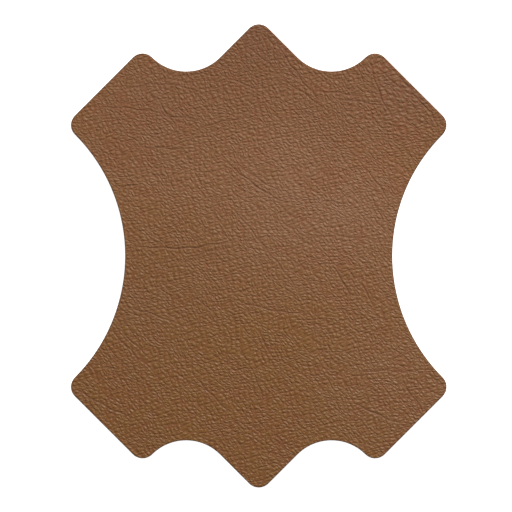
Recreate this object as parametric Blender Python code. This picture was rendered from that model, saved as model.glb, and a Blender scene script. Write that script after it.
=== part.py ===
"""A piece of grained leather, die-cut to the outline of a whole hide and lying flat with its grain side up.

Units are metres and +Z is up. The origin is at the middle of the flesh side, which rests on z = 0,
and +Y points to one of the two long tips, the neck. The outline is the same left and right, neck and tail.
"""

import math

import bmesh
import bpy

# Driving dimensions of the cut
WIDTH = 0.094
THICKNESS = 0.0014
TIP_RADIUS = 0.0034
NOTCH_RADIUS = 0.0120
FLANK_RADIUS = 0.0429
LEG_EDGE = 0.02055

# The blade draws the grain down a little as it goes through, so the upper rim is softly rounded
RIM_ROUNDING = 0.0003
RIM_STEPS = 3

# Edges that turn more sharply than this are shaded as edges
SHARP_EDGE_DEG = 40

# The most that a straight step may leave its arc
CHORD_ERROR = 0.00001

# The directions of the outline in degrees from +X, as on a map with the neck to the north
NORTH = 90
NORTH_EAST = 45
SOUTH_EAST = -45
SOUTH_WEST = -135
WEST = 180
NORTH_WEST = 135

LEATHER_BROWN = (0.216, 0.102, 0.048, 1.0)
LEATHER_ROUGHNESS = 0.5


def clear_scene():
    for obj in list(bpy.data.objects):
        bpy.data.objects.remove(obj)


def step_from(point, angle_deg, distance):
    """The point at this distance from another, in the direction of an angle from +X."""
    angle = math.radians(angle_deg)
    return (point[0] + distance * math.cos(angle), point[1] + distance * math.sin(angle))


def arc(centre, radius, start_deg, end_deg):
    """Points along an arc, both ends included, with as many steps as CHORD_ERROR asks for."""
    widest_step = 2 * math.degrees(math.acos(1 - CHORD_ERROR / radius))
    steps = math.ceil(abs(end_deg - start_deg) / widest_step)
    turn = (end_deg - start_deg) / steps
    return [step_from(centre, start_deg + turn * i, radius) for i in range(steps + 1)]


def quarter_outline():
    """The outline from the neck tip clockwise to the narrowest point of the right flank.

    Every arc starts and ends square to one of the map directions, so the cuts between them meet them smoothly
    and each centre follows from the one before.
    """
    foot = (WIDTH / 2 - TIP_RADIUS, (TIP_RADIUS + FLANK_RADIUS) * math.sin(math.radians(NORTH_EAST)))
    flank = step_from(foot, SOUTH_EAST, TIP_RADIUS + FLANK_RADIUS)
    shoulder = step_from(foot, NORTH_WEST, LEG_EDGE)
    notch = step_from(shoulder, NORTH_WEST, TIP_RADIUS + NOTCH_RADIUS)
    neck = (0.0, notch[0] + notch[1] - math.sqrt(2) * (TIP_RADIUS + NOTCH_RADIUS))
    return (
        arc(neck, TIP_RADIUS, NORTH, NORTH_EAST)
        + arc(notch, NOTCH_RADIUS, SOUTH_WEST, SOUTH_EAST)
        + arc(shoulder, TIP_RADIUS, NORTH_WEST, NORTH_EAST)[1:]
        + arc(foot, TIP_RADIUS, NORTH_EAST, SOUTH_EAST)
        + arc(flank, FLANK_RADIUS, NORTH_WEST, WEST)[1:]
    )


def whole_outline():
    """All four quarters as one closed loop, clockwise from the neck tip, with no point twice."""
    right_front = quarter_outline()
    right_back = [(x, -y) for x, y in reversed(right_front)]
    left_back = [(-x, -y) for x, y in right_front]
    left_front = [(-x, y) for x, y in reversed(right_front)]
    return right_front[:-1] + right_back[:-1] + left_back[:-1] + left_front[:-1]


def leather_material():
    material = bpy.data.materials.new("brown_leather")
    material.use_nodes = True
    shader = material.node_tree.nodes["Principled BSDF"]
    shader.inputs["Base Color"].default_value = LEATHER_BROWN
    shader.inputs["Roughness"].default_value = LEATHER_ROUGHNESS
    shader.inputs["Metallic"].default_value = 0.0
    material.diffuse_color = LEATHER_BROWN
    return material


def cut_leather():
    """One flat sheet: the outline as a face on z = 0, drawn up to the grain side, with the upper rim rounded."""
    mesh = bpy.data.meshes.new("leather_piece")
    body = bmesh.new()
    flesh_side = body.faces.new([body.verts.new((x, y, 0.0)) for x, y in whole_outline()])
    drawn = bmesh.ops.extrude_face_region(body, geom=[flesh_side], use_keep_orig=True)["geom"]
    grain_verts = [item for item in drawn if isinstance(item, bmesh.types.BMVert)]
    bmesh.ops.translate(body, vec=(0.0, 0.0, THICKNESS), verts=grain_verts)
    bmesh.ops.recalc_face_normals(body, faces=body.faces)
    grain_rim = [edge for edge in body.edges if all(v.co.z > THICKNESS / 2 for v in edge.verts)]
    bmesh.ops.bevel(body, geom=grain_rim, offset=RIM_ROUNDING, segments=RIM_STEPS, profile=0.5, affect="EDGES")
    body.to_mesh(mesh)
    body.free()
    mesh.materials.append(leather_material())
    mesh.shade_smooth()
    mesh.set_sharp_from_angle(angle=math.radians(SHARP_EDGE_DEG))
    leather = bpy.data.objects.new("leather_piece", mesh)
    bpy.context.scene.collection.objects.link(leather)
    return leather


clear_scene()
cut_leather()
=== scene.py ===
"""A piece of brown grained leather in the outline of a whole hide, lying flat and seen from above."""

import math
from collections import namedtuple

import bmesh
import bpy
import numpy as np
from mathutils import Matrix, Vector, kdtree
from mathutils.geometry import delaunay_2d_cdt


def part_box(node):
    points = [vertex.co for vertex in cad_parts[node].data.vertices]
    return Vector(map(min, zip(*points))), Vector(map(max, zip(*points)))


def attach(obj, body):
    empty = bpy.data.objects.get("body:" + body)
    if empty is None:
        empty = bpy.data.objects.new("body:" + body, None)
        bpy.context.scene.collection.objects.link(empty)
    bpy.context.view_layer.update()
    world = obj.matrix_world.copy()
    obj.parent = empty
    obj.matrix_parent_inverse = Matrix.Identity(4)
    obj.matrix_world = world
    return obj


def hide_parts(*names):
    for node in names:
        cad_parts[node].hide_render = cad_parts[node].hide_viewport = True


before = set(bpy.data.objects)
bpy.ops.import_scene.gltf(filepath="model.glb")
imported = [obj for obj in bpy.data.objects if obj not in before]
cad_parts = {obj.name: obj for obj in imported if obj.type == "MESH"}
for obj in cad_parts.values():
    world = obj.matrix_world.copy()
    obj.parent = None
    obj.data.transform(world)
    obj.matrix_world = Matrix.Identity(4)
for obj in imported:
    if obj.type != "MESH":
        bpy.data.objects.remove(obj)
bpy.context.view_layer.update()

# The cut edge
# One stroke of a die cuts the piece out of the skin. The blade draws the grain side down at the rim
# and leaves an upright edge, and the foot of the cut is eased a little where it meets the surface.

RIM_ROUNDING = 0.0003
RIM_STEPS = 4
FOOT_ROUNDING = 0.00006
WALL_STEPS = 3
MESH_STEP = 0.000325
SAME_POINT = 0.000001

leather_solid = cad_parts["leather_piece"]
low_corner, high_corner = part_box("leather_piece")
THICKNESS = high_corner[2] - low_corner[2]


def cut_line(solid):
    """The outline of a solid's flat foot, as points in order round it."""
    body = bmesh.new()
    body.from_mesh(solid.data)
    bmesh.ops.remove_doubles(body, verts=body.verts, dist=SAME_POINT)
    foot = {face for face in body.faces if all(v.co.z < SAME_POINT for v in face.verts)}
    rim = {edge for edge in body.edges if sum(face in foot for face in edge.link_faces) == 1}
    edge = min(rim, key=lambda e: e.index)
    first, here = edge.verts
    points = [first.co.xy]
    while here != first:
        points.append(here.co.xy)
        edge = next(e for e in here.link_edges if e in rim and e != edge)
        here = edge.other_vert(here)
    points = np.array(points)
    body.free()
    return points


def spaced_evenly(loop, step):
    """The closed loop again, with its points as far apart as the step, near enough."""
    closed = np.vstack([loop, loop[:1]])
    run = np.concatenate([[0.0], np.cumsum(np.linalg.norm(np.diff(closed, axis=0), axis=1))])
    count = round(run[-1] / step)
    stations = np.arange(count) * run[-1] / count
    return np.column_stack([np.interp(stations, run, closed[:, axis]) for axis in (0, 1)])


def area_within(loop):
    """The area inside a loop, above zero where the loop runs anticlockwise."""
    ahead = np.roll(loop, -1, axis=0)
    return np.sum(loop[:, 0] * ahead[:, 1] - loop[:, 1] * ahead[:, 0]) / 2


def outward_from(loop):
    """The direction away from the leather at each point of an anticlockwise loop."""
    ahead = np.roll(loop, -1, axis=0) - np.roll(loop, 1, axis=0)
    ahead /= np.linalg.norm(ahead, axis=1, keepdims=True)
    return np.column_stack([ahead[:, 1], -ahead[:, 0]])


outline = spaced_evenly(cut_line(leather_solid), MESH_STEP)
if area_within(outline) < 0:
    outline = outline[::-1]
outward = outward_from(outline)

# Each row of the edge, from the grain side to the foot: how far in from the cut it lies, and how high
edge_rows = []
for step in range(RIM_STEPS + 1):
    turn = math.pi / 2 * step / RIM_STEPS
    edge_rows.append((RIM_ROUNDING * (1 - math.sin(turn)), THICKNESS - RIM_ROUNDING * (1 - math.cos(turn))))
wall_height = THICKNESS - RIM_ROUNDING - FOOT_ROUNDING
for step in range(1, WALL_STEPS + 1):
    edge_rows.append((0.0, FOOT_ROUNDING + wall_height * (1 - step / WALL_STEPS)))
edge_rows.append((FOOT_ROUNDING, 0.0))

# The skin
# The grain side, the cut edge and the flesh side are one closed skin. The grain side has a close, even
# mesh, fine enough to carry its pebbles and creases. The flesh side lies flat on what is below it.

FLESH_STEP = 0.0025
GRAIN_SIDE, CUT_EDGE, FLESH_SIDE = range(3)

# How close to the rim a point inside it may lie, in steps of the mesh
KEEP_OFF_RIM = 0.7

points, faces, finishes = [], [], []


def lattice_about(loop, step):
    """Points of a triangular lattice over a loop's box, but for those too near the loop."""
    near_loop = kdtree.KDTree(len(loop))
    for index, (x, y) in enumerate(loop):
        near_loop.insert((x, y, 0.0), index)
    near_loop.balance()
    row_step = step * math.sqrt(3) / 2
    (left, low), (right, high) = loop.min(axis=0), loop.max(axis=0)
    spots = []
    for row in range(math.ceil((high - low) / row_step)):
        for column in range(math.ceil((right - left) / step)):
            spot = (left + (column + row % 2 / 2) * step, low + row * row_step, 0.0)
            if near_loop.find(spot)[2] > KEEP_OFF_RIM * step:
                spots.append(Vector(spot[:2]))
    return spots


def add_row(loop, height):
    """Adds a row of points and returns the number of its first."""
    start = len(points)
    points.extend((x, y, height) for x, y in loop)
    return start


def add_side(loop, height, step, finish):
    """Adds a flat side with a loop for its rim, which is its first row of points."""
    ring = [Vector(point) for point in loop]
    spots, _, triangles, _, _, within = delaunay_2d_cdt(
        ring + lattice_about(loop, step), [], [list(range(len(ring)))], 0, SAME_POINT, True
    )
    start = add_row(spots, height)
    for triangle, loop_around in zip(triangles, within):
        if loop_around:
            corners = [start + i for i in triangle]
            faces.append(corners if finish == GRAIN_SIDE else corners[::-1])
            finishes.append(finish)
    return start


def add_band(upper, lower, finish):
    """Joins two rows by a band of faces."""
    for i in range(len(outline)):
        j = (i + 1) % len(outline)
        faces.append([upper + i, lower + i, lower + j, upper + j])
        finishes.append(finish)


row_loops = [outline - outward * inset for inset, _ in edge_rows]
row_heights = [height for _, height in edge_rows]
row_starts = [add_side(row_loops[0], row_heights[0], MESH_STEP, GRAIN_SIDE)]
row_starts += [add_row(loop, height) for loop, height in zip(row_loops[1:-1], row_heights[1:-1])]
row_starts += [add_side(row_loops[-1], row_heights[-1], FLESH_STEP, FLESH_SIDE)]
for row, (upper, lower) in enumerate(zip(row_starts, row_starts[1:])):
    add_band(upper, lower, GRAIN_SIDE if row < RIM_STEPS else CUT_EDGE)

leather_mesh = bpy.data.meshes.new("leather")
leather_mesh.from_pydata(points, [], faces)
leather_mesh.polygons.foreach_set("material_index", finishes)
leather_mesh.shade_smooth()
leather = bpy.data.objects.new("leather", leather_mesh)
bpy.context.scene.collection.objects.link(leather)

# A flat map for baking: the cut edge is laid out round the grain side, and the flesh side lies beside them
GRAIN_MAP_SCALE = 7.4
FLESH_MAP_SCALE = 2.6
MAP_MARGIN = 0.012

laid_out = np.array(points)[:, :2]
edge_run = 0.0
for above, below, start in zip(edge_rows, edge_rows[1:], row_starts[1:]):
    edge_run += math.dist(above, below)
    laid_out[start:start + len(outline)] = row_loops[0] + outward * edge_run
on_flesh_side = np.array(points)[:, :2] - outline.min(axis=0)
grain_map = MAP_MARGIN + (laid_out - laid_out.min(axis=0)) * GRAIN_MAP_SCALE
flesh_map = on_flesh_side * (-FLESH_MAP_SCALE, FLESH_MAP_SCALE) + (1 - MAP_MARGIN, MAP_MARGIN)
corners = np.concatenate(faces)
corner_finish = np.repeat(finishes, [len(face) for face in faces])
places = np.where(corner_finish[:, None] == FLESH_SIDE, flesh_map[corners], grain_map[corners])
leather_mesh.uv_layers.new(name="OFBake").uv.foreach_set("vector", places.ravel())

bpy.ops.object.select_all(action="DESELECT")
leather.select_set(True)
bpy.context.view_layer.objects.active = leather
bpy.ops.object.mode_set(mode="EDIT")
bpy.ops.mesh.select_all(action="SELECT")
bpy.ops.mesh.delete_loose(use_verts=True, use_edges=False, use_faces=False)
bpy.ops.object.mode_set(mode="OBJECT")

# How far each point is from the cut, up to a limit, for the relief and the dressing that end near it
FURTHEST_MM = 3.0
MM = 1000.0

near_cut = kdtree.KDTree(len(outline))
for index, (x, y) in enumerate(outline):
    near_cut.insert((x, y, 0.0), index)
near_cut.balance()
from_cut = leather_mesh.attributes.new("from_cut", "FLOAT", "POINT")
for index, vertex in enumerate(leather_mesh.vertices):
    away = near_cut.find((vertex.co.x, vertex.co.y, 0.0))[2]
    from_cut.data[index].value = min(away * MM, FURTHEST_MM)

# The creases
# The living hide creased where it bent, in nearly level lines and in steep ones that run down to the right.
# The main ones are listed one by one, in millimetres from the middle of the piece.

Crease = namedtuple("Crease", "start end bow depth")

MAIN_CREASES = [
    # across the neck
    Crease((-3, 52.2), (6.5, 44), 0.3, 0.07),
    Crease((5.3, 51.5), (15.3, 39), -0.5, 0.09),
    Crease((5.3, 44), (17.8, 35.7), 0.4, 0.08),
    Crease((-7.7, 44), (-0.5, 41), 0.5, 0.09),
    Crease((-15.5, 31.5), (-3, 34.7), 0.3, 0.08),
    # the left front leg
    Crease((-39.7, 38.5), (-11, 38.5), 4.5, 0.06),
    Crease((-40, 37), (-23.5, 35.7), 0.4, 0.09),
    Crease((-25, 34.7), (-14.7, 34), 0.2, 0.09),
    Crease((-25.5, 39.7), (-20.5, 32.2), -0.4, 0.09),
    Crease((-31.5, 27.2), (-15.5, 27), -0.3, 0.07),
    # the right front leg
    Crease((12.8, 41), (27, 39.7), 0.3, 0.07),
    Crease((18.5, 39), (34.5, 37), 0.3, 0.08),
    Crease((27.8, 48.2), (33.5, 34.7), -0.8, 0.11),
    Crease((29.8, 46.5), (36.5, 40.2), 0.3, 0.08),
    Crease((37.8, 40.7), (44.5, 33.2), 0.4, 0.09),
    # the back, down to the middle
    Crease((-8, 23.2), (7, 13.2), -0.7, 0.10),
    Crease((-6.5, 23.6), (6, 16), -0.5, 0.07),
    Crease((-7.2, 12.2), (10.3, -9.8), 0.6, 0.06),
    Crease((26, 22.2), (32.3, 14), 0.3, 0.08),
    Crease((27.3, 15.7), (31, 8.2), 0.2, 0.09),
    Crease((12.8, 4.5), (32.3, 4), 0.5, 0.06),
    Crease((-35.2, 16.5), (-30.5, 17.7), 0.2, 0.10),
    Crease((-30.9, 2.2), (-6, 3.7), -0.9, 0.11),
    Crease((-19, -1), (-6.5, 2.2), 0.2, 0.07),
    # the back, from the middle down
    Crease((18.5, -2.8), (22.8, -10.3), 0.2, 0.12),
    Crease((25.3, -6.8), (28.5, -12.8), 0.2, 0.09),
    Crease((-16.5, -10.3), (-11.5, -14.3), 0.2, 0.08),
    Crease((-6.5, -11), (12, -14.3), -0.8, 0.07),
    Crease((-34, -12.8), (-20.5, -16.8), 0.3, 0.07),
    Crease((-0.5, -18.5), (2.8, -25.3), 0.2, 0.10),
    Crease((14, -13.5), (14, -20.3), -0.3, 0.06),
    # the left hind leg
    Crease((-37.2, -18.5), (-25.5, -29.3), -0.4, 0.07),
    Crease((-35.2, -18.2), (-27.2, -25.6), -0.2, 0.05),
    Crease((-45.5, -33.5), (-31.5, -40.3), -0.6, 0.08),
    Crease((-39.2, -28), (-35.2, -28.5), 0.1, 0.08),
    # the tail
    Crease((-16, -30.3), (-6.7, -39.3), -0.4, 0.08),
    Crease((-2.2, -27.8), (1, -36), 0.2, 0.08),
    Crease((-6.5, -45.3), (-3, -50.3), 0.2, 0.09),
    # the right hind leg
    Crease((24.5, -29.3), (41, -29), 0.3, 0.06),
    Crease((23.5, -36.8), (35.3, -41.8), -0.3, 0.09),
    Crease((35.3, -31.8), (41, -39), 0.3, 0.09),
]
SWAY_MM = 0.14
SWAY_RUN_MM = 0.9


def off_line(crease, places):
    """How far each place is from a crease's line, which bows and sways, and how deep the crease is."""
    start, end = np.array(crease.start), np.array(crease.end)
    length = np.linalg.norm(end - start)
    ahead = (end - start) / length
    run = (places - start) @ ahead
    share = run / length
    belly = np.clip(4 * share * (1 - share), 0.0, 1.0)
    sway = SWAY_MM * (np.sin(run / SWAY_RUN_MM) + np.sin(run / SWAY_RUN_MM / math.pi))
    off = (places - start) @ (-ahead[1], ahead[0]) - crease.bow * belly - sway
    return np.hypot(off, np.maximum(abs(share - 0.5) - 0.5, 0.0) * length), crease.depth * np.sqrt(belly)


places = np.array([vertex.co.xy for vertex in leather_mesh.vertices]) * MM
off_crease = np.full(len(places), FURTHEST_MM)
crease_depth = np.zeros(len(places))
for crease in MAIN_CREASES:
    off, depth = off_line(crease, places)
    crease_depth = np.where(off < off_crease, depth, crease_depth)
    off_crease = np.minimum(off, off_crease)
for name, values in (("off_crease", off_crease), ("crease_depth", crease_depth)):
    leather_mesh.attributes.new(name, "FLOAT", "POINT").data.foreach_set("value", values)

# The grain
# Full-grain cowhide has pebbles a little under a millimetre across, on small folds of the skin that run
# level in one place and steeply down to the right in the next. The same sums shape the mesh and the finish.

# The two ways that the folds run, in degrees from level, and how they wander and turn into each other
LEVEL_DEG = 8
STEEP_DEG = -40
TURNS_MM = 2.2
TURN_RANGE = (0.48, 0.62)
WANDER_MM = 9.0
WANDER_BY_MM = 3.0

# The folds, the pebbles on them, and the ragged valleys between the pebbles
FOLD_MM = 0.5
FOLD_RANGE = (0.25, 0.75)
FOLD_DEPTH_MM = 0.02
PEBBLE_MM = 0.87
PEBBLE_STRETCH = 1.65
PEBBLE_DEPTH_MM = 0.161
PEBBLE_UNEVENNESS = 0.72
VALLEY_SHARE = 0.42
RAGGED_MM = 0.5
RAGGED_BY_MM = 0.3

# The main creases, beside which the grain is a little smoother
CREASE_HALF_MM = 0.38
CREASE_GAIN = 1.3
BESIDE_CREASE_MM = (0.3, 1.0)
SMOOTHER_BY_CREASE = 0.2

# The fine creases, which run two ways and cross each other, and the pores
FINE_LEVEL_DEG = 12
FINE_STEEP_DEG = -52
FINE_STEEP_SHARE = 0.8
FINE_CREASE_LENGTH_MM = 10.0
FINE_CREASE_SPACING_MM = 1.4
FINE_CREASE_WIDTH = 0.09
FINE_CREASE_DEPTH_MM = 0.058
PORE_MM = 0.16
PORE_DEPTH_MM = 0.006

# Where the skin stretched and its grain is coarser: a middle and a reach in millimetres, and how much
COARSER_PLACES = [
    {"middle": (36, 42), "reach": 27, "share": 0.32},
    {"middle": (10, 46), "reach": 17, "share": 0.16},
]
COARSER_DEPTH = 0.5

# How much of the depth is in the mesh, with the rest in the finish, and how far in from the cut it starts
MESH_SHARE = 0.4
RIM_FADE_MM = (0.3, 0.9)

# How much of a noise's strength each finer layer of it keeps
FINER_LAYER_SHARE = 0.55


class Wire:
    """One output of a node. Sums written with wires add the Math nodes that work them out."""

    def __init__(self, socket):
        self.socket = socket
        self.tree = socket.id_data

    @classmethod
    def node(cls, tree, kind, settings=None, inputs=None, output=0):
        """Adds a node by its kind, settings and the value or wire of each input, and gives one output."""
        made = tree.nodes.new(kind)
        for name, value in (settings or {}).items():
            setattr(made, name, value)
        for name, value in (inputs or {}).items():
            open_inputs = [socket for socket in made.inputs if socket.enabled]
            named = [socket for socket in open_inputs if socket.name == name]
            socket = named[0] if named else open_inputs[name]
            if isinstance(value, Wire):
                tree.links.new(value.socket, socket)
            else:
                socket.default_value = value
        open_outputs = [socket for socket in made.outputs if socket.enabled]
        named = [socket for socket in open_outputs if socket.name == output]
        return cls(named[0] if named else open_outputs[output])

    def combined(self, operation, first, second):
        kind = "ShaderNodeMath"
        if "VECTOR" in {wire.socket.type for wire in (first, second) if isinstance(wire, Wire)}:
            kind = "ShaderNodeVectorMath"
            first, second = ((n, n, n) if isinstance(n, (int, float)) else n for n in (first, second))
        return Wire.node(self.tree, kind, {"operation": operation}, {0: first, 1: second})

    def __add__(self, other):
        return self.combined("ADD", self, other)

    def __radd__(self, other):
        return self.combined("ADD", other, self)

    def __sub__(self, other):
        return self.combined("SUBTRACT", self, other)

    def __rsub__(self, other):
        return self.combined("SUBTRACT", other, self)

    def __mul__(self, other):
        return self.combined("MULTIPLY", self, other)

    def __rmul__(self, other):
        return self.combined("MULTIPLY", other, self)

    def __abs__(self):
        return Wire.node(self.tree, "ShaderNodeMath", {"operation": "ABSOLUTE"}, {0: self})


def noise(at, size, detail=0.0, output="Fac"):
    """Soft flat noise, about 0.5, with lumps of a size in the units of the place."""
    inputs = {"Vector": at, "Scale": 1 / size, "Detail": detail, "Roughness": FINER_LAYER_SHARE}
    return Wire.node(at.tree, "ShaderNodeTexNoise", {"noise_dimensions": "2D"}, inputs, output)


def shifts(at, size, by, detail=1.0):
    """Shifts that change softly from place to place, and reach half of a distance at most."""
    return (noise(at, size, detail, output="Color") - 0.5) * by


def rise(value, low, high):
    """0 below low and 1 above high, with a soft rise between them."""
    inputs = {"Value": value, "From Min": low, "From Max": high}
    return Wire.node(value.tree, "ShaderNodeMapRange", {"interpolation_type": "SMOOTHSTEP"}, inputs)


def smaller(first, second):
    """The smaller of two values."""
    return Wire.node(first.tree, "ShaderNodeMath", {"operation": "MINIMUM"}, {0: first, 1: second})


def turned(at, angle_deg):
    """The place in axes that are turned by an angle, anticlockwise."""
    inputs = {"Vector": at, "Angle": -math.radians(angle_deg)}
    return Wire.node(at.tree, "ShaderNodeVectorRotate", {"rotation_type": "Z_AXIS"}, inputs)


def cells(at, size, unevenness):
    """How far a place is from the border of its cell, in cells, which are uneven by a share from 0 to 1."""
    settings = {"voronoi_dimensions": "2D", "feature": "DISTANCE_TO_EDGE"}
    inputs = {"Vector": at, "Scale": 1 / size, "Randomness": unevenness}
    return Wire.node(at.tree, "ShaderNodeTexVoronoi", settings, inputs, "Distance")


def creases(at, angle_deg):
    """1 at the bottom of fine creases that run at an angle, and 0 between them."""
    across = turned(at, angle_deg) * (1 / FINE_CREASE_LENGTH_MM, 1 / FINE_CREASE_SPACING_MM, 1.0)
    return 1 - rise(abs(noise(across, 1.0, detail=1.0) - 0.5), 0.0, FINE_CREASE_WIDTH)


def near(at, middle, reach):
    """1 at the middle of a spot, and 0 beyond its reach."""
    ends = {0: at, 1: (*middle, 0.0)}
    away = Wire.node(at.tree, "ShaderNodeVectorMath", {"operation": "DISTANCE"}, ends, "Value")
    return 1 - rise(away, 0.0, reach)


def over(at, spots):
    """How much of a change a place takes from a table of spots, each of which fades out at its reach."""
    share = 0
    for spot in spots:
        share = share + spot["share"] * near(at, spot["middle"], spot["reach"])
    return share


def stretched(at):
    """The place drawn in to the middles of the coarser places, so that the grain is larger there."""
    drawn = at
    for spot in COARSER_PLACES:
        share = spot["share"] * near(at, spot["middle"], spot["reach"])
        drawn = drawn + share * ((*spot["middle"], 0.0) - at)
    return drawn


def grain(at, off):
    """How deep the folds and the valleys are at a flat place. A main crease is a valley too."""
    at = stretched(at)
    wandered = at + shifts(at, WANDER_MM, WANDER_BY_MM)
    ragged = shifts(at, RAGGED_MM, RAGGED_BY_MM)
    level = turned(wandered, LEVEL_DEG) * (1 / PEBBLE_STRETCH, 1.0, 1.0)
    steep = turned(wandered, STEEP_DEG) * (1 / PEBBLE_STRETCH, 1.0, 1.0)
    share = rise(noise(at, TURNS_MM, detail=1.0), *TURN_RANGE)
    fold = noise(level, FOLD_MM) * (1 - share) + noise(steep, FOLD_MM) * share
    level_cells = cells(level + ragged, PEBBLE_MM, PEBBLE_UNEVENNESS)
    steep_cells = cells(steep + ragged, PEBBLE_MM, PEBBLE_UNEVENNESS)
    border = smaller(level_cells * (1 - share) + steep_cells * share, off * (1 / PEBBLE_MM))
    return 1 - rise(fold, *FOLD_RANGE), 1 - rise(border, 0.0, VALLEY_SHARE)


def fine_creases(at):
    """How deep the fine creases are, which run two ways: 1 in a level one, and more where two cross."""
    wandered = at + shifts(at, WANDER_MM, WANDER_BY_MM)
    return creases(wandered, FINE_LEVEL_DEG) + FINE_STEEP_SHARE * creases(wandered, FINE_STEEP_DEG)


def kept(tree, name):
    """A value that the mesh keeps at each of its points, for the relief or for a finish."""
    if tree.type == "GEOMETRY":
        settings = {"data_type": "FLOAT"}
        return Wire.node(tree, "GeometryNodeInputNamedAttribute", settings, {"Name": name}, "Attribute")
    return Wire.node(tree, "ShaderNodeAttribute", {"attribute_name": name}, {}, "Fac")


def main_creases(off, depth):
    """The depth of the main creases in millimetres, from how far off their lines a place is."""
    return CREASE_GAIN * depth * (1 - rise(off, 0.0, CREASE_HALF_MM))


def relief_share(at, off):
    """How deep the grain is, which is more where it is coarser and less close beside a main crease."""
    beside_crease = 1 - rise(off, *BESIDE_CREASE_MM)
    return (1 + COARSER_DEPTH * over(at, COARSER_PLACES)) * (1 - SMOOTHER_BY_CREASE * beside_crease)


def grain_depth(fold, valley):
    """The depth of the folds and pebbles in millimetres."""
    return FOLD_DEPTH_MM * fold + PEBBLE_DEPTH_MM * valley


# The folds and domes of the grain are pressed into the mesh with the creases, and fade out at the rim
relief = bpy.data.node_groups.new("grain relief", "GeometryNodeTree")
relief.interface.new_socket("Geometry", in_out="INPUT", socket_type="NodeSocketGeometry")
relief.interface.new_socket("Geometry", in_out="OUTPUT", socket_type="NodeSocketGeometry")
at = Wire.node(relief, "GeometryNodeInputPosition") * MM
inset = kept(relief, "from_cut")
off = kept(relief, "off_crease")
height = Wire.node(relief, "ShaderNodeSeparateXYZ", {}, {"Vector": at}, "Z")
fold, valley = grain(at, off)
creased = main_creases(off, kept(relief, "crease_depth"))
depth = MESH_SHARE * (grain_depth(fold, valley) * relief_share(at, off) + creased)
depth = depth * rise(inset, *RIM_FADE_MM) * rise(height, THICKNESS * MM / 2, THICKNESS * MM)
downwards = Wire.node(relief, "ShaderNodeCombineXYZ", {}, {"Z": depth * (-1 / MM)})
whole = Wire.node(relief, "NodeGroupInput")
pressed = Wire.node(relief, "GeometryNodeSetPosition", {}, {"Geometry": whole, "Offset": downwards})
out = relief.nodes.new("NodeGroupOutput")
relief.links.new(pressed.socket, out.inputs["Geometry"])

bpy.ops.object.modifier_add(type="NODES")
pressing = leather.modifiers[-1]
pressing.node_group = relief
bpy.ops.object.modifier_apply(modifier=pressing.name)
leather_mesh = leather.data

# The finish of the grain side
# Aniline-dyed brown under a satin top coat. The brown changes from place to place, partly as uneven dye and
# partly as a painted sheen. It lies darker and redder in the valleys and creases, partly as dye pooled
# there and partly as painted shade. At the cut it darkens a little, where the dressing of the edge crept
# in.

BROWN = (0.1280, 0.0506, 0.0030, 1.0)
PALE_DYE_AND_SHEEN = (0.1670, 0.0832, 0.0425, 1.0)
GREYISH_DYE_AND_SHEEN = (0.1270, 0.0560, 0.0170, 1.0)
DEEP = (0.1030, 0.0405, 0.0095, 1.0)

# Where the brown is paler and greyer, partly as uneven dye and partly as a painted sheen, and where it is
# darker: a middle and a reach in millimetres, and how much
PALER_DYE_AND_SHEEN_PLACES = [
    {"middle": (8, 18), "reach": 43, "share": 0.50},
    {"middle": (31, 8), "reach": 27, "share": 0.26},
    {"middle": (-32, 23), "reach": 28, "share": 0.28},
    {"middle": (37, -29), "reach": 34, "share": 0.26},
]
GREYER_DYE_AND_SHEEN_PLACES = [
    {"middle": (-28, 38), "reach": 27, "share": 0.9},
    {"middle": (34, 42), "reach": 23, "share": 0.8},
    {"middle": (-28, -8), "reach": 26, "share": 0.35},
]
DEEPER_PLACES = [
    {"middle": (0, 62), "reach": 45, "share": 1.0},
    {"middle": (42, 42), "reach": 24, "share": 0.7},
    {"middle": (20, 33), "reach": 15, "share": 0.3},
]

# Small olive and russet patches, and where there are more of the russet ones
OLIVE = (0.1200, 0.0520, 0.0030, 1.0)
OLIVE_SHARE = 0.27
OLIVE_PATCH_MM = 5.0
OLIVE_RANGE = (0.54, 0.66)
OLIVE_SHIFT_MM = (60.0, 21.0, 0.0)
RUSSET = (0.1320, 0.0425, 0.0045, 1.0)
RUSSET_SHARE = 0.34
RUSSET_PATCH_MM = 6.0
RUSSET_RANGE = (0.54, 0.70)
RUSSET_SHIFT_MM = (3.0, 9.0, 0.0)
REDDER_PLACES = [
    {"middle": (-30, 32), "reach": 20, "share": 0.2},
    {"middle": (20, 21), "reach": 12, "share": 0.2},
    {"middle": (34, 24), "reach": 14, "share": 0.2},
    {"middle": (20, -6), "reach": 15, "share": 0.2},
    {"middle": (-34, -32), "reach": 18, "share": 0.2},
    {"middle": (0, -42), "reach": 22, "share": 0.2},
    {"middle": (34, -36), "reach": 18, "share": 0.2},
]

# The darkening in the valleys and in the creases, partly dye pooled there and partly painted shade. In the
# valleys it is broad at the neck and thins to lines at the tail
VALLEY_DYE_AND_SHADE = (0.1040, 0.0080, 0.0, 1.0)
TAIL_TO_NECK_MM = (-45, 45)
BROAD_DYE_AND_SHADE = 0.4
ON_FOLDS = 0.4
LINE_DYE_AND_SHADE = 0.3
LINE_RANGE = (0.75, 1.0)
FINE_CREASE_SHARE = 0.3
CREASE_BROWN_AND_SHADE = (0.0800, 0.0230, 0.0, 1.0)
CREASE_DYE_AND_SHADE = 4.2

# The dressing of the edge, where it crept in over the rim
EDGE_DYE = (0.0300, 0.0130, 0.0050, 1.0)
EDGE_DYE_SHARE = 0.4
EDGE_DYE_RANGE_MM = (0.05, 0.4)

# The top coat
ROUGHNESS = 0.50
ROUGHER_AT_NECK = 0.10
ROUGHER_IN_VALLEYS = 0.12
ROUGHNESS_CHANGE = 0.08
ROUGHNESS_PATCH_MM = 2.0
COAT_SPECULAR = 0.43


def blend(first, second, share):
    """One colour going over into another, by a share from 0 to 1."""
    inputs = {"Factor": share, "A": first, "B": second}
    return Wire.node(share.tree, "ShaderNodeMix", {"data_type": "RGBA"}, inputs, "Result")


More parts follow.
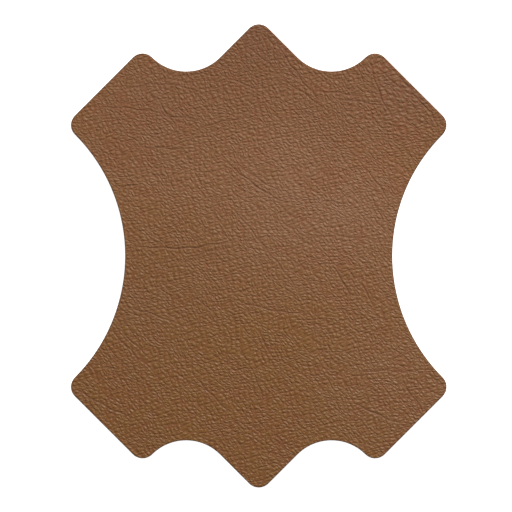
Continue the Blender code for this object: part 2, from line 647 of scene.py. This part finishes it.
def new_finish(name):
    """Adds a finish to the skin, and gives its flat place in millimetres and its Principled shader."""
    material = bpy.data.materials.new(name)
    material.use_nodes = True
    leather_mesh.materials.append(material)
    place = Wire.node(material.node_tree, "ShaderNodeTexCoord", {}, {}, "Object")
    return place * MM, material.node_tree.nodes["Principled BSDF"]


def feed(shader, name, wire):
    shader.id_data.links.new(wire.socket, shader.inputs[name])


def raise_surface(shader, height):
    """Raises the surface of a finish by a height in millimetres."""
    inputs = {"Height": height, "Distance": 1 / MM, "Strength": 1.0}
    feed(shader, "Normal", Wire.node(height.tree, "ShaderNodeBump", {}, inputs))


at, shader = new_finish("grain_side")
off = kept(at.tree, "off_crease")
fold, valley = grain(at, off)
creased = main_creases(off, kept(at.tree, "crease_depth"))
fine_crease = fine_creases(at)
towards_neck = rise(Wire.node(at.tree, "ShaderNodeSeparateXYZ", {}, {"Vector": at}, "Y"), *TAIL_TO_NECK_MM)

# The brown is made paler and greyer in broad places, partly as uneven dye and partly as a painted sheen,
# and darker in others towards the neck's tip
paler, greyer_dye_and_sheen, deeper = (over(at, spots) for spots in (PALER_DYE_AND_SHEEN_PLACES, GREYER_DYE_AND_SHEEN_PLACES, DEEPER_PLACES))
dye_and_painted_light = blend(blend(blend(BROWN, PALE_DYE_AND_SHEEN, paler), GREYISH_DYE_AND_SHEEN, greyer_dye_and_sheen), DEEP, deeper)
olive = rise(noise(at + OLIVE_SHIFT_MM, OLIVE_PATCH_MM, detail=4.0), *OLIVE_RANGE)
russet_noise = noise(at + RUSSET_SHIFT_MM, RUSSET_PATCH_MM, detail=4.0)
russet = rise(russet_noise + over(at, REDDER_PLACES), *RUSSET_RANGE)
dye_and_painted_light = blend(blend(dye_and_painted_light, OLIVE, OLIVE_SHARE * olive), RUSSET, RUSSET_SHARE * russet)

# The valleys and creases are darkened and reddened: partly dye pooled there, partly painted shade that is
# broader towards the neck
broad = valley * (ON_FOLDS + (1 - ON_FOLDS) * fold)
lines = rise(valley + FINE_CREASE_SHARE * fine_crease, *LINE_RANGE)
dye_and_painted_light = blend(dye_and_painted_light, VALLEY_DYE_AND_SHADE, BROAD_DYE_AND_SHADE * towards_neck * broad + LINE_DYE_AND_SHADE * (1 - towards_neck) * lines)
dye_and_painted_light = blend(dye_and_painted_light, CREASE_BROWN_AND_SHADE, CREASE_DYE_AND_SHADE * creased)
at_edge = 1 - rise(kept(at.tree, "from_cut"), *EDGE_DYE_RANGE_MM)
feed(shader, "Base Color", blend(dye_and_painted_light, EDGE_DYE, EDGE_DYE_SHARE * at_edge))

roughness = ROUGHNESS + ROUGHER_AT_NECK * towards_neck + ROUGHER_IN_VALLEYS * valley
feed(shader, "Roughness", roughness + ROUGHNESS_CHANGE * (noise(at, ROUGHNESS_PATCH_MM) - 0.5))
shader.inputs["Specular IOR Level"].default_value = COAT_SPECULAR
fine = (1 - MESH_SHARE) * grain_depth(fold, valley) + FINE_CREASE_DEPTH_MM * fine_crease
fine = fine * relief_share(at, off) + (1 - MESH_SHARE) * creased
raise_surface(shader, 0 - (fine + PORE_DEPTH_MM * noise(at, PORE_MM, detail=2.0)))

# The finish of the cut edge
# The die leaves the skin's fibres showing in level layers, dyed right through. A dark dressing was rubbed
# along the edge, and has gone thin here and there.

THROUGH_DYE = (0.100, 0.042, 0.016, 1.0)
DRESSING = (0.034, 0.014, 0.006, 1.0)
DRESSED_ROUGHNESS = 0.5
WORN_ROUGHER = 0.25

# The layers and the worn places: their length and height in millimetres, and how softly they end
LAYER_MM = (0.8, 0.13)
LAYER_RANGE = (0.35, 0.65)
LAYER_DEPTH_MM = 0.05
LAYER_DEPTH_RANGE = (0.3, 0.7)
WORN_MM = (3.0, 0.9)
WORN_RANGE = (0.45, 0.65)

# How much of the dye shows between the layers, and how much more where the dressing is worn
SHOWS_THROUGH = 0.35
SHOWS_MORE_WORN = 0.5


def layers(at, length, thickness):
    """Level layers of fibres, of a length and a thickness in the units of the place."""
    inputs = {"Vector": at * (1 / length, 1 / length, 1 / thickness), "Scale": 1.0, "Detail": 3.0}
    return Wire.node(at.tree, "ShaderNodeTexNoise", {"noise_dimensions": "3D"}, inputs, "Fac")


at, shader = new_finish("cut_edge")
fibres = layers(at, *LAYER_MM)
worn = rise(layers(at, *WORN_MM), *WORN_RANGE)
shows = rise(fibres, *LAYER_RANGE) * (SHOWS_THROUGH + SHOWS_MORE_WORN * worn)
feed(shader, "Base Color", blend(DRESSING, THROUGH_DYE, shows))
feed(shader, "Roughness", DRESSED_ROUGHNESS + WORN_ROUGHER * worn)
raise_surface(shader, LAYER_DEPTH_MM * rise(fibres, *LAYER_DEPTH_RANGE))

# The finish of the flesh side
# The underside was shaved level and buffed to a short suede-like nap. It took less of the dye, and its
# fibres lie in loose swirls.

NAP_DYE = (0.250, 0.135, 0.070, 1.0)
NAP_SHADE = (0.160, 0.080, 0.040, 1.0)
NAP_SHARE = 0.6
NAP_RANGE = (0.38, 0.62)
NAP_DEPTH_MM = 0.06
NAP_ROUGHNESS = 0.92
NAP_SPECULAR = 0.2
NAP_SHEEN = 0.25
CLOUD_MM = 9.0
CLOUD_RANGE = (0.35, 0.65)

# The fibres lie in three directions, each swirled
FIBRE_ANGLES_DEG = (15, 70, 130)
FIBRE_LENGTH_MM = 1.6
FIBRE_WIDTH_MM = 0.16
SWIRL_MM = 14.0
SWIRL_BY_MM = 8.0

at, shader = new_finish("flesh_side")
swirled = at + shifts(at, SWIRL_MM, SWIRL_BY_MM, detail=2.0)
nap = 0
for angle in FIBRE_ANGLES_DEG:
    along = turned(swirled, angle) * (1 / FIBRE_LENGTH_MM, 1 / FIBRE_WIDTH_MM, 1.0)
    nap = nap + noise(along, 1.0, detail=2.0) * (1 / len(FIBRE_ANGLES_DEG))
clouds = rise(noise(at, CLOUD_MM, detail=4.0), *CLOUD_RANGE)
paler = NAP_SHARE * rise(nap, *NAP_RANGE) + (1 - NAP_SHARE) * clouds
feed(shader, "Base Color", blend(NAP_SHADE, NAP_DYE, paler))
shader.inputs["Roughness"].default_value = NAP_ROUGHNESS
shader.inputs["Specular IOR Level"].default_value = NAP_SPECULAR
shader.inputs["Sheen Weight"].default_value = NAP_SHEEN
raise_surface(shader, NAP_DEPTH_MM * nap)

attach(leather, "root")
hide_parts("leather_piece")

# The studio
# A white table that glows a little from within, so that the leather hardly shades it, a soft light low
# beyond the neck to rake across the grain, and even light from all round.

TABLE_SIZE = 3.0
BELOW_LEATHER = 0.00002
TABLE_WHITE = (0.8, 0.8, 0.8, 1.0)
TABLE_ROUGHNESS = 0.7
TABLE_GLOW = 0.8
WHITE = (1.0, 1.0, 1.0, 1.0)
LIGHT_AZIMUTH_DEG = 27
LIGHT_HEIGHT_DEG = 35
LIGHT_AWAY = 0.8
LIGHT_SIZE = 0.25
LIGHT_POWER = 10.9
LIGHT_COLOUR = (1.0, 0.98, 0.94)
LIGHT_ALL_ROUND = 0.56

bpy.ops.mesh.primitive_plane_add(size=TABLE_SIZE, location=(0.0, 0.0, -BELOW_LEATHER))
table = bpy.context.object
table.name = "table"
table_finish = bpy.data.materials.new("white_table")
table_finish.use_nodes = True
white = table_finish.node_tree.nodes["Principled BSDF"]
white.inputs["Base Color"].default_value = TABLE_WHITE
white.inputs["Roughness"].default_value = TABLE_ROUGHNESS
white.inputs["Emission Color"].default_value = WHITE
white.inputs["Emission Strength"].default_value = TABLE_GLOW
table.data.materials.append(table_finish)

azimuth = math.radians(LIGHT_AZIMUTH_DEG)
elevation = math.radians(LIGHT_HEIGHT_DEG)
across, up = LIGHT_AWAY * math.cos(elevation), LIGHT_AWAY * math.sin(elevation)
light_at = Vector((across * math.sin(azimuth), across * math.cos(azimuth), up))
light_turn = light_at.to_track_quat("Z", "Y").to_euler()
bpy.ops.object.light_add(type="AREA", location=light_at, rotation=light_turn)
light = bpy.context.object.data
light.shape = "DISK"
light.size = LIGHT_SIZE
light.energy = LIGHT_POWER
light.color = LIGHT_COLOUR

world = bpy.data.worlds.new("studio")
world.use_nodes = True
world.node_tree.nodes["Background"].inputs["Color"].default_value = WHITE
world.node_tree.nodes["Background"].inputs["Strength"].default_value = LIGHT_ALL_ROUND
bpy.context.scene.world = world
bpy.context.scene.view_settings.view_transform = "Standard"

# The camera
# It looks straight down, with the neck at the top of the picture. The piece's middle is a little right
# of the picture's.

PICTURE = 0.128
MIDDLE_RIGHT = 0.0007
MIDDLE_UP = 0.00004
LENS = 200.0
SENSOR = 36.0
SEES_FROM = 0.01

camera_at = (-MIDDLE_RIGHT, -MIDDLE_UP, THICKNESS + PICTURE * LENS / SENSOR)
bpy.ops.object.camera_add(location=camera_at, rotation=(0.0, 0.0, 0.0))
camera = bpy.context.object
camera.data.lens = LENS
camera.data.sensor_width = SENSOR
camera.data.clip_start = SEES_FROM
bpy.context.scene.camera = camera
